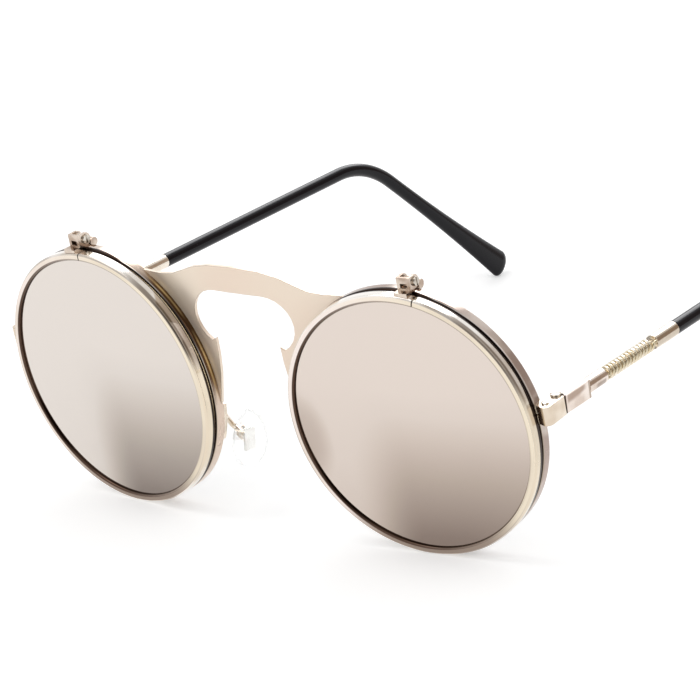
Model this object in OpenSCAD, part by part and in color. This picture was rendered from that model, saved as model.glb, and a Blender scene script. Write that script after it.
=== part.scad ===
// Round flip up sunglasses. Each side has a fixed rim with a clear lens and, in front of it,
// a hinged rim with a mirrored lens. A flat keyhole bridge joins the fixed rims, and each
// metal temple carries a wound wire grip and ends in a dark sleeve.
// The parts are drawn in the frame of the front: X to the wearer's left, Y backwards from
// the face of the flip rims, Z up along the lenses, centred between the two lenses.
// standing() then sets the open glasses down on their rims and temple tips.

/* [Lenses] */
// Visible width of each round lens
sight_d = 48; // [45:0.5:51]
// Distance between the two lens centres
centre_distance = 71; // [70:0.5:76]
// Turn of each lens plane away from the middle, in degrees
wrap_angle = 5.5; // [4:0.5:7]
// Radius of the curve of both lenses
lens_curve_r = 260; // [200:10:500]
// Thickness of the mirrored lens
mirror_lens_t = 1; // [0.8:0.1:1.1]
// Thickness of the clear lens
clear_lens_t = 1.2; // [0.9:0.1:1.3]

/* [Rims] */
// Width of both rims, seen from the front
rim_w = 1.4; // [1.2:0.1:1.8]
// Depth of the flip rim, front to back
flip_rim_t = 2.25; // [2.1:0.05:2.5]
// Depth of the fixed rim, front to back
fixed_rim_t = 2.25; // [2.15:0.05:2.5]
// Gap between the closed flip rim and the fixed rim
rim_gap = 0.35; // [0.3:0.05:0.5]
// Depth of the groove that holds a lens edge
groove_h = 0.6; // [0.4:0.05:0.7]
// Width of the slit where a rim is closed on its lens
slit_w = 0.25; // [0.15:0.05:0.4]
// Chamfer along the edges of a rim
rim_bevel = 0.25; // [0.1:0.05:0.3]

/* [Bridge] */
// Thickness of the bridge plate
plate_t = 0.7; // [0.6:0.1:1]
// Height of the top of the bridge above the lens centres
bridge_top = 26.2; // [25.5:0.1:28]
// Height of the top of the keyhole above the lens centres
keyhole_top = 21.1; // [19.5:0.1:21.5]
// Widest part of the keyhole
keyhole_w = 23.2; // [21:0.1:23.6]
// Width of the nose gap below the keyhole
nose_gap_w = 15.4; // [14:0.1:17]

/* [Flip hinge] */
// Distance of the flip hinge outwards from the lens centre
flip_offset = 3.2; // [2:0.1:5]
// Height of the flip axis above the rim
flip_axis_rise = 1.45; // [1.45:0.05:1.8]
// Width over the two ears of the flip bracket
bracket_w = 2.7; // [2.6:0.1:3.4]
// Thickness of an ear and of the bracket front
bracket_t = 0.5; // [0.4:0.05:0.6]
// Radius of the round end of an ear
ear_r = 1.25; // [1.15:0.05:1.25]
// Diameter of the flip hinge screw
flip_screw_d = 1; // [0.8:0.05:1.1]
// Thickness of each friction washer
washer_t = 0.15; // [0.1:0.05:0.2]

/* [Temple hinge] */
// Height of the endpiece and of the temple hinge
endpiece_h = 3.5; // [3.2:0.1:4]
// Height of the middle of the endpiece above the lens centres
endpiece_z = 3.5; // [2:0.1:5]
// Distance of the hinge axis outwards from the side of the rim
hinge_outset = 0.7; // [0.3:0.05:1.1]
// Distance of the hinge axis behind the fixed rim
hinge_setback = 2.2; // [2.1:0.1:3]
// Radius of a hinge knuckle
knuckle_r = 1; // [0.9:0.05:1]
// Thickness of the outer wall of the hinge
hinge_wall = 0.6; // [0.5:0.05:0.8]
// Diameter of the temple hinge screw
hinge_screw_d = 1; // [0.8:0.05:1.1]
// Diameter of the screw that closes the fixed rim
lock_screw_d = 0.8; // [0.6:0.05:0.9]

/* [Temples] */
// Length from the hinge axis to the bend
shaft_l = 100; // [85:0.5:110]
// Length from the bend to the end of the sleeve
tip_l = 49; // [42:0.5:52]
// Angle of the bend behind the ear, in degrees
bend_angle = 46.5; // [38:0.5:52]
// Radius of the bend behind the ear
bend_r = 20; // [14:0.5:24]
// Downward slope of the temple from the front, in degrees
temple_pitch = 4.5; // [3.5:0.5:6.5]
// Inward turn of the temple from the front, in degrees
temple_splay = 1.7; // [1:0.1:3.5]
// Inward turn of the tip round the shaft, in degrees
tip_roll = 10; // [0:0.5:12]
// Width of the hinge block at the front of the temple
block_w = 2.7; // [2.6:0.05:3]
// Height of the hinge block
block_h = 3.3; // [3:0.05:3.4]
// Length of the flat sided part of the hinge block
block_l = 7.9; // [6.5:0.1:9]
// Length of the round neck behind the flat part
neck_l = 5.7; // [3:0.1:7]
// Diameter of the round neck
neck_d = 2.8; // [2.7:0.05:3]
// Diameter of the core wire
core_d = 1.16; // [1:0.02:1.16]
// Length of the core wire inside the sleeve tip
core_in_tip = 28; // [15:1:32]
// Diameter of the metal collar behind the coil
collar_d = 2.8; // [2.7:0.05:3]
// Length of the collar
collar_l = 7.2; // [5:0.1:10]
// Diameter of the sleeve along the shaft
sleeve_d = 2.7; // [2.5:0.05:3]
// Width of the flat end of the sleeve
paddle_w = 5.3; // [4:0.1:6]
// Thickness of the flat end of the sleeve
paddle_t = 2.5; // [2:0.1:2.7]

/* [Wire coil] */
// Turns of the coil on each temple
coil_turns = 13; // [8:1:16]
// Rise of the coil in one turn
coil_pitch = 1.09; // [1.08:0.01:1.2]
// Diameter of the coil wire
coil_wire_d = 0.65; // [0.5:0.01:0.66]
// Diameter of the coil, measured over the wire
coil_d = 2.66; // [2.64:0.02:2.8]

/* [Nose pads] */
// Distance of each pad hinge from the middle
pad_x = 11.4; // [11.2:0.1:12]
// Distance of each pad hinge behind the face of the flip rims
pad_y = 7.4; // [7.2:0.1:8]
// Depth of each pad hinge below the lens centres
pad_drop = 11.3; // [11.2:0.1:13]
// Length of a pad
pad_l = 12.6; // [11:0.1:12.8]
// Width of a pad
pad_w = 7.4; // [6.5:0.1:7.6]
// Thickness of a pad
pad_t = 2.3; // [2:0.1:2.6]
// Turn of a pad to suit the side of the nose, in degrees
pad_splay = 24; // [18:1:28]
// Lean of a pad towards the middle at its top, in degrees
pad_lean = 12; // [8:1:15]
// Diameter of the pad arm wire
pad_arm_d = 1; // [0.8:0.05:1.1]

/* [Fits] */
// Clearance round a screw or a wire in its hole
fit = 0.02; // [0.02:0.01:0.04]
// Clearance round a lens in its groove
lens_fit = 0.04; // [0.02:0.01:0.08]
// Clearance between hinge faces that slide on each other
slide = 0.05; // [0.03:0.01:0.08]
// Gap between the temple and the endpiece when open
butt_gap = 0.12; // [0.08:0.02:0.2]

/* [Hidden] */
round_fn = 96;
small_fn = 32;
ring_fn = 240;
// Reach of a cutter past what it cuts, and the length of one that cuts all the way
past = 1;
cutter_l = 60;
// Depth to which a soldered foot is drawn into the rim before the rim is cut out of it
solder_sink = 1;

// Rims and lenses, with depths counted backwards from the face of the flip rim
half = centre_distance / 2;
sight_r = sight_d / 2;
rim_r = sight_r + rim_w;
groove_r = sight_r + groove_h;
lens_r = groove_r - lens_fit;
fixed_d0 = flip_rim_t + rim_gap;
fixed_d1 = fixed_d0 + fixed_rim_t;
lens_shelf_w = 0.7;
lens_rings = 14;

// Where the outer side of the fixed rim stands in the frame of the front
side_x = half + rim_r * cos(wrap_angle);
side_back_y = fixed_d1 * cos(wrap_angle) + rim_r * sin(wrap_angle);
side_front_y = fixed_d0 * cos(wrap_angle) + rim_r * sin(wrap_angle);

// Bridge plate
plate_d0 = fixed_d1 - plate_t;
keyhole_r = 6.2;
bow_half = 12;
bow_steps = 10;

// Flip hinge, in the frame of one lens
flip_axis_d = fixed_d0 + 0.95;
flip_axis_z = rim_r + flip_axis_rise;
plate_front = -1.7;
foot_front = -flip_axis_d + rim_bevel;
foot_back = foot_front + flip_rim_t - 2 * rim_bevel;
ear_gap = bracket_w - 2 * bracket_t;
base_w = ear_gap - 2 * washer_t - 2 * slide;
base_r = 0.98;
stem_w = 1.8;
strap_t = 0.35;
lug_y = 2.05;
lug_r = 0.85;
lug_z = 0.05 - flip_axis_rise;
lug_w = 2.3;
foot_t = 0.45;
window_w = 1.4;
window_h = 0.9;
window_drop = 0.8;
screw_tail = 0.15;
screw_head_t = 0.42;
slot_w = 0.3;
slot_h = 0.22;

// Temple hinge
hinge_x = side_x + hinge_outset;
hinge_y = side_back_y + hinge_setback;
knuckle_gap = knuckle_r + 0.15;
face_x = hinge_x + knuckle_r + 0.1 + hinge_wall;
knuckle_h = (endpiece_h - 2 * slide) / 3;
corner_r = 1.1;
corner_ahead = 0.7;
heel_t = 0.4;
leaf_in = 0.9;
hinge_head_r = 1.02;
lock_x = side_x + 0.75;
lock_y = (side_front_y + side_back_y) / 2;
slit_in = 0.2;
lock_head_r = 0.65;
lock_head_t = 0.3;

// Temple, along its own axis from the hinge
core_x = face_x - block_w / 2;
neck_end = block_l + neck_l;
coil_r = (coil_d - coil_wire_d) / 2;
coil_bend_r = 0.5;
coil_lead = atan(coil_pitch / (2 * PI * coil_r));
coil_run = coil_turns * coil_pitch;
coil_hook = coil_wire_d + coil_bend_r * sin(90 - coil_lead);
coil_start = neck_end;
collar_start = coil_start + coil_run + 2 * coil_hook;
sleeve_start = collar_start + collar_l;
core_start = block_l - 2;
core_end_gap = 0.3;
bend_len = bend_r * tan(bend_angle / 2);
bend_swell = 0.02;
bend_lap = 0.3;
paddle_r = paddle_w / 2;

// Nose pads
pad_box_h = 2;
pad_box_wall = 0.4;
pad_box_front = 0.7;
pad_box_back = 1.2;
pad_box_floor = 0.4;
pad_tab_t = 0.7;
pad_tab_h = 1;
pad_eye_d = 1.3;
pad_play = 0.1;
pad_screw_d = 0.8;
pad_head_t = 0.3;
pad_slot = 0.25;
pad_face = 1.3;
pad_plate_t = 0.4;
pad_plate_w = 2.2;
pad_plate_l = 4.8;
pad_plate_in = 0.8;
arm_foot_t = 0.8;
arm_foot_mid = 196;
arm_foot_arc = 18;

// Standing pose: the front leans until the rims and the tips touch one plane
tip_mid = tip_point(tip_l - paddle_r);
rim_low = [0, rim_bevel, -rim_r];
reach = norm([tip_mid[1] - rim_low[1], tip_mid[2] - rim_low[2]]);
lean = asin(paddle_r / reach) - atan2(tip_mid[2] - rim_low[2], tip_mid[1] - rim_low[1]);
floor_z = rim_low[1] * cos(wrap_angle) * sin(lean)
    - rim_r * sqrt(1 - pow(sin(lean) * cos(wrap_angle), 2));
front_y = -(rim_r - rim_bevel) * sqrt(pow(sin(wrap_angle) * cos(lean), 2) + pow(sin(lean), 2));
back_y = tip_mid[1] * cos(lean) - tip_mid[2] * sin(lean) + paddle_r;

gold = [0.88, 0.81, 0.71];
pale_gold = [0.93, 0.87, 0.78];
steel = [0.78, 0.76, 0.74];
black = [0.15, 0.15, 0.17];
mirror_tint = [0.83, 0.76, 0.71];
clear_tint = [0.85, 0.9, 0.92, 0.4];

function drop_turn(v, a) = [v[0], v[1] * cos(a) + v[2] * sin(a), v[2] * cos(a) - v[1] * sin(a)];
function side_turn(v, a) = [v[0] * cos(a) - v[1] * sin(a), v[0] * sin(a) + v[1] * cos(a), v[2]];
function axis_roll(v, a) = [v[0] * cos(a) + v[2] * sin(a), v[1], v[2] * cos(a) - v[0] * sin(a)];

// A point on the middle line of the left temple's tip, at distance s beyond the bend
function tip_point(s) = [core_x, hinge_y, endpiece_z]
    + side_turn(drop_turn(axis_roll(
        [0, shaft_l + s * cos(bend_angle), -s * sin(bend_angle)], tip_roll), temple_pitch), temple_splay);

module standing() {
    translate([0, -(front_y + back_y) / 2, -floor_z])
        rotate([lean, 0, 0]) children();
}

// The frame of one lens: X across it, Y backwards, Z up; side is 1 for left and -1 for right
module at_lens(side) {
    standing() translate([side * half, 0, 0]) rotate([0, 0, side * wrap_angle]) children();
}

// The wearer's right is the mirror image of the left
module at_side(side) {
    standing() {
        if (side > 0) children();
        else mirror([1, 0, 0]) children();
    }
}

module at_flip_hinge(side) {
    at_lens(side) translate([side * flip_offset, flip_axis_d, flip_axis_z]) children();
}

// Back from the flip hinge to the frame of its lens
module from_flip_hinge(side) {
    translate([-side * flip_offset, -flip_axis_d, -flip_axis_z]) children();
}

module at_temple() {
    translate([core_x, hinge_y, endpiece_z])
        rotate([0, 0, temple_splay]) rotate([-temple_pitch, 0, 0]) children();
}

module at_tip() {
    rotate([0, tip_roll, 0]) translate([0, shaft_l, 0]) rotate([-bend_angle, 0, 0]) children();
}

module at_pad() {
    translate([pad_x, pad_y, -pad_drop]) rotate([0, -pad_lean, 0]) rotate([0, 0, pad_splay]) children();
}

// A ring or disc about the depth axis, from a profile of radius and depth
module turned(profile) {
    rotate([-90, 0, 0]) rotate_extrude($fn = ring_fn) polygon(profile);
}

// A straight rod along the depth axis
module rod_y(d, y0, y1) {
    translate([0, y0, 0]) rotate([-90, 0, 0]) cylinder(d = d, h = y1 - y0, $fn = round_fn);
}

// A straight rod along X
module rod_x(d, x0, x1) {
    translate([x0, 0, 0]) rotate([0, 90, 0]) cylinder(d = d, h = x1 - x0, $fn = round_fn);
}

// A wire from p to q with a ball at q that is a hair thicker
module wire(p, q, d) {
    v = q - p;
    translate(p) rotate([0, acos(v[2] / norm(v)), atan2(v[1], v[0])])
        cylinder(d = d, h = norm(v), $fn = round_fn);
    translate(q) sphere(d = d + bend_swell, $fn = round_fn);
}

// Everything inside the outer wall of the rims of one side, used to seat parts against them
module rim_body(side) {
    translate([side * half, 0, 0]) rotate([0, 0, side * wrap_angle])
        rim_cylinder(cutter_l);
}

// The space inside the outer wall of the rims in the frame of one lens, back to a given depth
module rim_cylinder(depth) {
    turned([[0, -cutter_l], [rim_r, -cutter_l], [rim_r, depth], [0, depth]]);
}

module rim_section(d0, d1, seat) {
    lens_back = seat + groove_gap();
    turned([
        [sight_r, d0 + rim_bevel], [sight_r + rim_bevel, d0], [rim_r - rim_bevel, d0],
        [rim_r, d0 + rim_bevel], [rim_r, d1 - rim_bevel], [rim_r - rim_bevel, d1],
        [sight_r + rim_bevel, d1], [sight_r, d1 - rim_bevel], [sight_r, lens_back],
        [groove_r, lens_back], [groove_r, seat], [sight_r, seat]
    ]);
}

function groove_gap() = max(mirror_lens_t, clear_lens_t) + lens_fit;

function curve_sag(r) = lens_curve_r - sqrt(pow(lens_curve_r, 2) - pow(r, 2));

// A curved lens whose edge is a flat shelf that sits in the groove
module lens(seat, t) {
    edge_r = lens_r - lens_shelf_w;
    dome = [for (i = [0:lens_rings]) edge_r * i / lens_rings];
    rise = curve_sag(edge_r);
    turned(concat(
        [for (r = dome) [r, seat - rise + curve_sag(r)]],
        [[lens_r, seat], [lens_r, seat + t]],
        [for (i = [lens_rings:-1:0]) [dome[i], seat + t - rise + curve_sag(dome[i])]]
    ));
}

module bridge_outline() {
    top = [[0, bridge_top], [6, bridge_top - 0.3], [10, bridge_top - 1.1], [13, bridge_top - 2.3],
        [16, bridge_top - 3.4], [19, bridge_top - 3.75], [26, bridge_top - 3.7]];
    low = [[26, 5], [11.6, -6.5], [10.2, -3.5], [9.2, 0], [nose_gap_w / 2 + 0.5, 4],
        [nose_gap_w / 2, 8], [nose_gap_w / 2 - 0.1, keyhole_top - 9.9]];
    arc = [for (a = [-60:15:90])
        [keyhole_w / 2 - keyhole_r * (1 - cos(a)), keyhole_top - keyhole_r + keyhole_r * sin(a) * 0.9 + 0.6]];
    half_outline = concat(top, low, arc, [[3, keyhole_top - 0.02], [0, keyhole_top]]);
    n = len(half_outline);
    polygon(concat(half_outline, [for (i = [n - 2:-1:1]) [-half_outline[i][0], half_outline[i][1]]]));
}

// The plate seen from above: straight along each lens plane, bowed between them
module bridge_plan() {
    bow_r = bow_half / sin(wrap_angle);
    face = function(d) [
        for (i = [-bow_steps:bow_steps]) let(a = wrap_angle * i / bow_steps)
            [bow_r * sin(a) - d * sin(a), bow_mid_y() + bow_r * (1 - cos(a)) + d * cos(a)]
    ];
    ends = function(d, s) [s * (half - d * sin(wrap_angle)), d * cos(wrap_angle)];
    polygon(concat(
        [ends(plate_d0, -1)], face(plate_d0), [ends(plate_d0, 1)],
        [ends(fixed_d1, 1)], [for (i = [2 * bow_steps:-1:0]) face(fixed_d1)[i]], [ends(fixed_d1, -1)]
    ));
}

// Where the bowed middle of the front plane stands, with depth zero at the lens centres
function bow_mid_y() = -half * tan(wrap_angle) + bow_half * tan(wrap_angle)
    - bow_half / sin(wrap_angle) * (1 - cos(wrap_angle));

module bridge_plate() {
    color(pale_gold) standing() difference() {
        intersection() {
            rotate([90, 0, 0]) linear_extrude(cutter_l, center = true) bridge_outline();
            linear_extrude(2 * cutter_l, center = true) bridge_plan();
        }
        rim_body(1);
        rim_body(-1);
    }
}

module fixed_rim(side) {
    color(gold) at_lens(side) difference() {
        rim_section(fixed_d0, fixed_d1, fixed_d0 + (fixed_rim_t - groove_gap()) / 2);
        translate([side * rim_r, fixed_d0, endpiece_z])
            cube([4 * rim_w, 4 * fixed_rim_t, slit_w], center = true);
    }
}

module clear_lens(side) {
    color(clear_tint) at_lens(side)
        lens(fixed_d0 + (fixed_rim_t - groove_gap() + lens_fit) / 2, clear_lens_t);
}

module flip_rim(side) {
    color(gold) at_lens(side) difference() {
        rim_section(0, flip_rim_t, (flip_rim_t - groove_gap()) / 2);
        translate([side * flip_offset + bracket_w / 2 + 1, 0, rim_r])
            cube([slit_w, 4 * flip_rim_t, 4 * rim_w], center = true);
    }
}

module mirror_lens(side) {
    color(mirror_tint) at_lens(side)
        lens((flip_rim_t - groove_gap() + lens_fit) / 2, mirror_lens_t);
}

// Two ears and a front with a small window, standing on a foot that fits the flip rim
module flip_bracket(side) {
    color(pale_gold) at_flip_hinge(side) difference() {
        union() {
            for (x = [-bracket_w / 2, bracket_w / 2 - bracket_t]) translate([x, 0, 0]) {
                rod_x(2 * ear_r, 0, bracket_t);
                translate([0, plate_front, -ear_r]) cube([bracket_t, -plate_front, 2 * ear_r]);
            }
            translate([-bracket_w / 2, plate_front, -flip_axis_rise])
                cube([bracket_w, bracket_t, flip_axis_rise + ear_r]);
            translate([-bracket_w / 2, foot_front, -flip_axis_rise - solder_sink])
                cube([bracket_w, foot_back - foot_front, solder_sink + foot_t]);
        }
        translate([-window_w / 2, plate_front - past, -window_drop])
            cube([window_w, 2 * past, window_h]);
        translate([-ear_gap / 2, plate_front + bracket_t, foot_t - flip_axis_rise])
            cube([ear_gap, cutter_l, cutter_l]);
        rod_x(flip_screw_d + 2 * fit, -bracket_w, bracket_w);
        from_flip_hinge(side) rim_cylinder(cutter_l);
    }
}

// The knuckle between the ears, the strap over the fixed rim and the lug behind it
module flip_hinge_base(side) {
    color(gold) at_flip_hinge(side) difference() {
        union() {
            rod_x(2 * base_r, -base_w / 2, base_w / 2);
            translate([-base_w / 2, -stem_w / 2, -flip_axis_rise - solder_sink])
                cube([base_w, stem_w, solder_sink + flip_axis_rise]);
            translate([-base_w / 2, 0, -flip_axis_rise - solder_sink])
                cube([base_w, lug_y, solder_sink + strap_t]);
            translate([0, lug_y, lug_z]) rod_x(2 * lug_r, -lug_w / 2, lug_w / 2);
        }
        rod_x(flip_screw_d + 2 * fit, -bracket_w, bracket_w);
        from_flip_hinge(side) rim_cylinder(fixed_d1);
    }
}

// A slotted screw along X with its head at the far end
module flip_screw(side) {
    head_x = bracket_w / 2;
    color(steel) at_flip_hinge(side) difference() {
        union() {
            rod_x(flip_screw_d, -head_x - screw_tail, head_x);
            rod_x(1.7 * flip_screw_d, head_x, head_x + screw_head_t);
        }
        translate([head_x + screw_head_t, 0, 0])
            cube([2 * slot_h, slot_w, 3 * flip_screw_d], center = true);
    }
}

module flip_washers(side) {
    color(steel) at_flip_hinge(side) for (s = [-1, 1])
        translate([s * (ear_gap / 2 - slide / 2 - washer_t / 2), 0, 0]) difference() {
            rod_x(2 * base_r, -washer_t / 2, washer_t / 2);
            rod_x(flip_screw_d + 2 * fit, -washer_t, washer_t);
        }
}

// The endpiece seen from above: a rounded corner block that is soldered to the fixed rim
module endpiece_plan() {
    front = side_front_y - corner_ahead;
    inner_x = side_x - solder_sink;
    corner = [for (a = [0:15:90])
        [face_x - corner_r + corner_r * sin(a), front + corner_r - corner_r * cos(a)]];
    polygon(concat(
        [[inner_x, side_front_y]], corner,
        [[face_x, hinge_y], [face_x - hinge_wall, hinge_y],
            [face_x - hinge_wall, side_back_y + heel_t], [inner_x, side_back_y + heel_t]]
    ));
}

module hinge_leaf(z0, h) {
    leaf_x = hinge_x - leaf_in * knuckle_r;
    translate([leaf_x, side_back_y, z0]) cube([face_x - leaf_x, hinge_y - side_back_y, h]);
    translate([hinge_x, hinge_y, z0]) cylinder(r = knuckle_r, h = h, $fn = round_fn);
}

module endpiece(side) {
    bottom = endpiece_z - endpiece_h / 2;
    color(gold) at_side(side) difference() {
        union() {
            translate([0, 0, bottom]) linear_extrude(endpiece_h) endpiece_plan();
            hinge_leaf(bottom, knuckle_h);
            hinge_leaf(bottom + endpiece_h - knuckle_h, knuckle_h);
        }
        rim_body(1);
        translate([lock_x, lock_y, bottom - past])
            cylinder(d = lock_screw_d + 2 * fit, h = endpiece_h + 2 * past, $fn = round_fn);
        translate([hinge_x, hinge_y, bottom - past])
            cylinder(d = hinge_screw_d + 2 * fit, h = endpiece_h + 2 * past, $fn = round_fn);
        translate([side_x - cutter_l, side_front_y - cutter_l / 2, endpiece_z - slit_w / 2])
            cube([cutter_l + slit_in, cutter_l, slit_w]);
    }
}

// A slotted screw that hangs from its head
module standing_screw(d, head_r, head_t, l) {
    difference() {
        union() {
            translate([0, 0, -l]) cylinder(d = d, h = l, $fn = round_fn);
            cylinder(r = head_r, h = head_t, $fn = round_fn);
        }
        translate([0, 0, head_t]) cube([slot_w, 4 * head_r, 2 * slot_h], center = true);
    }
}

module rim_lock_screw(side) {
    color(steel) at_side(side) translate([lock_x, lock_y, endpiece_z + endpiece_h / 2])
        rotate([0, 0, 35]) standing_screw(lock_screw_d, lock_head_r, lock_head_t, endpiece_h - 0.4);
}

module temple_hinge_screw(side) {
    color(steel) at_side(side) translate([hinge_x, hinge_y, endpiece_z + endpiece_h / 2])
        rotate([0, 0, -60]) standing_screw(hinge_screw_d, hinge_head_r, screw_head_t, endpiece_h);
}

// The middle knuckle, the flat sided block and the round neck
module temple_block(side) {
    color(gold) at_side(side) difference() {
        union() {
            difference() {
                at_temple() {
                    translate([-block_w / 2, -past, -block_h / 2])
                        cube([block_w, block_l + past, block_h]);
                    rod_y(neck_d, block_l, neck_end);
                }
                translate([hinge_x, hinge_y, endpiece_z])
                    cylinder(r = knuckle_gap, h = 2 * block_h, center = true, $fn = round_fn);
                translate([hinge_x, hinge_y + butt_gap - cutter_l / 2, endpiece_z])
                    cube(cutter_l, center = true);
                translate([hinge_x + knuckle_gap - cutter_l / 2, hinge_y + knuckle_gap - cutter_l / 2,
                    endpiece_z]) cube(cutter_l, center = true);
            }
            translate([hinge_x, hinge_y, endpiece_z]) {
                cylinder(r = knuckle_r, h = knuckle_h, center = true, $fn = round_fn);
                translate([-leaf_in * knuckle_r, 0, -knuckle_h / 2])
                    cube([2 * leaf_in * knuckle_r, knuckle_gap + solder_sink, knuckle_h]);
            }
        }
        translate([hinge_x, hinge_y, endpiece_z])
            cylinder(d = hinge_screw_d + 2 * fit, h = cutter_l, center = true, $fn = round_fn);
        at_temple() rod_y(core_d + 2 * fit, core_start, neck_end + past);
    }
}

// A round bar or bore that follows the temple, whose straight ends run a little way into a
// bend that is a hair thicker
module temple_bar(d, s0, tip_end) {
    rod_y(d, s0, shaft_l - bend_len + bend_lap);
    rotate([0, tip_roll, 0]) translate([0, shaft_l - bend_len, -bend_r]) rotate([90, 0, 90])
        rotate([0, 0, 90 - bend_angle]) rotate_extrude(angle = bend_angle, $fn = ring_fn)
            translate([bend_r, 0]) circle(d = d + bend_swell, $fn = round_fn);
    at_tip() rod_y(d, bend_len - bend_lap, tip_end);
}

module temple_core(side) {
    color(steel) at_side(side) at_temple() temple_bar(core_d, core_start, bend_len + core_in_tip);
}

module temple_collar(side) {
    color(gold) at_side(side) at_temple() difference() {
        rod_y(collar_d, collar_start, sleeve_start);
        rod_y(core_d + 2 * fit, collar_start - past, sleeve_start + past);
    }
}

// The sleeve: a round tube over the core that flares into a flat rounded end
module temple_sleeve(side) {
    edge_r = paddle_t / 2;
    flare_y = bend_len + 1;
    flare_d = (sleeve_d + bend_swell) / cos(180 / small_fn);
    color(black) at_side(side) at_temple() difference() {
        union() {
            temple_bar(sleeve_d, sleeve_start, flare_y + bend_lap);
            at_tip() hull() {
                translate([0, flare_y, 0]) rotate([-90, 0, 0])
                    cylinder(d = flare_d, h = 2 * bend_lap, $fn = small_fn);
                translate([0, tip_l - paddle_r, 0]) rotate([0, 90, 0])
                    rotate_extrude($fn = small_fn) translate([paddle_r - edge_r, 0])
                        circle(r = edge_r, $fn = small_fn);
            }
        }
        temple_bar(core_d + 2 * fit, sleeve_start - past, bend_len + core_in_tip + core_end_gap);
    }
}

// The coil's middle line: a straight end, a tight bend, the turns, and the same again reversed.
// Each entry is an angle round the temple, a distance along it, a shift along the turn and
// the slope of the wire away from the temple's axis.
coil_bend_steps = 3;
coil_top_slope = 90 - coil_lead;
coil_in = [for (i = [0:coil_bend_steps - 1]) let(b = coil_top_slope * i / coil_bend_steps)
    [0, coil_start + coil_wire_d + coil_bend_r * sin(b),
        coil_bend_r * (cos(coil_top_slope) - cos(b)), b]];
coil_out = [for (i = [1:coil_bend_steps]) let(b = coil_top_slope * (1 - i / coil_bend_steps))
    [360 * coil_turns, collar_start - coil_wire_d - coil_bend_r * sin(b),
        coil_bend_r * (cos(b) - cos(coil_top_slope)), b]];
coil_line = concat(
    [[0, coil_start, coil_in[0][2], 0]], coil_in,
    [for (i = [0:8 * coil_turns])
        [45 * i, coil_start + coil_hook + coil_pitch * i / 8, 0, coil_top_slope]],
    coil_out, [[360 * coil_turns, collar_start, coil_out[coil_bend_steps - 1][2], 0]]
);

function coil_out_dir(a) = [cos(a), 0, sin(a)];
function coil_turn_dir(a) = [-sin(a), 0, cos(a)];
function coil_point(e) = coil_r * coil_out_dir(e[0]) + [0, e[1], 0] + e[2] * coil_turn_dir(e[0]);
function coil_ring(e) = let(
    out = coil_out_dir(e[0]),
    cross_dir = [0, 1, 0] * -sin(e[3]) + coil_turn_dir(e[0]) * cos(e[3])
) [for (k = [0:5]) coil_point(e) + coil_wire_d / 2 * (cos(60 * k) * out + sin(60 * k) * cross_dir)];

// The least gap between points of the wire that lie more than half a turn apart
coil_mids = [for (e = coil_line) coil_point(e)];
coil_gap = min([for (i = [0:len(coil_mids) - 7]) for (j = [i + 6:min(i + 12, len(coil_mids) - 1)])
    norm(coil_mids[i] - coil_mids[j])]) - coil_wire_d;
echo(coil_least_gap = coil_gap);

module temple_coil(side) {
    rings = [for (e = coil_line) each coil_ring(e)];
    n = len(coil_line);
    walls = [for (i = [0:n - 2]) for (k = [0:5]) let(
        a = 6 * i + k, b = 6 * i + (k + 1) % 6, c = a + 6, d = b + 6
    ) each [[a, c, b], [b, c, d]]];
    first_cap = [for (k = [1:4]) [0, k, k + 1]];
    last_cap = [for (k = [1:4]) [6 * n - 6, 6 * n - 6 + k + 1, 6 * n - 6 + k]];
    color(pale_gold) at_side(side) at_temple() polyhedron(rings, concat(walls, first_cap, last_cap));
}

// The arm: a foot along the back of the fixed rim, a bent wire and an open box for the pad
module pad_arm(side) {
    box_in_w = pad_tab_t + 2 * pad_play;
    box_w = box_in_w + 2 * pad_box_wall;
    color(gold) at_side(side) {
        translate([half, 0, 0]) rotate([0, 0, wrap_angle]) rotate([-90, 0, 0])
            rotate([0, 0, -arm_foot_mid - arm_foot_arc / 2])
                rotate_extrude(angle = arm_foot_arc, $fn = ring_fn)
                    translate([sight_r + rim_bevel, fixed_d1]) square([rim_w - 2 * rim_bevel, arm_foot_t]);
        wire(arm_a, arm_b, pad_arm_d);
        wire(arm_b, arm_c, pad_arm_d);
        wire(arm_c, arm_d, pad_arm_d);
        at_pad() difference() {
            translate([-pad_box_front, -box_w / 2, -pad_box_h / 2])
                cube([pad_box_front + pad_box_back, box_w, pad_box_h]);
            translate([-pad_box_front - past, -box_in_w / 2, -pad_box_h])
                cube([past + pad_box_front + pad_box_back - pad_box_floor, box_in_w, 2 * pad_box_h]);
            rod_y(pad_screw_d + 2 * fit, -2 * pad_box_h, 2 * pad_box_h);
        }
    }
}

foot_mid_r = sight_r + rim_w / 2;
arm_a = [half, 0, 0] + side_turn(
    [foot_mid_r * cos(arm_foot_mid), fixed_d1 + arm_foot_t / 2, foot_mid_r * sin(arm_foot_mid)], wrap_angle);
arm_b = arm_a + [1.6, 2.4, -0.4];
arm_c = [pad_x + 2.2, pad_y - 0.2, -pad_drop + 1.4];
arm_d = [pad_x + 1.2, pad_y + 0.4, -pad_drop];

module pad_screw(side) {
    wall_y = pad_tab_t / 2 + pad_play + pad_box_wall;
    color(steel) at_side(side) at_pad() difference() {
        union() {
            rod_y(pad_screw_d, -wall_y, wall_y);
            rod_y(1.5 * pad_screw_d, wall_y, wall_y + pad_head_t);
        }
        translate([0, wall_y + pad_head_t, 0])
            cube([pad_slot, pad_head_t, 2 * pad_screw_d], center = true);
    }
}

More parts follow.
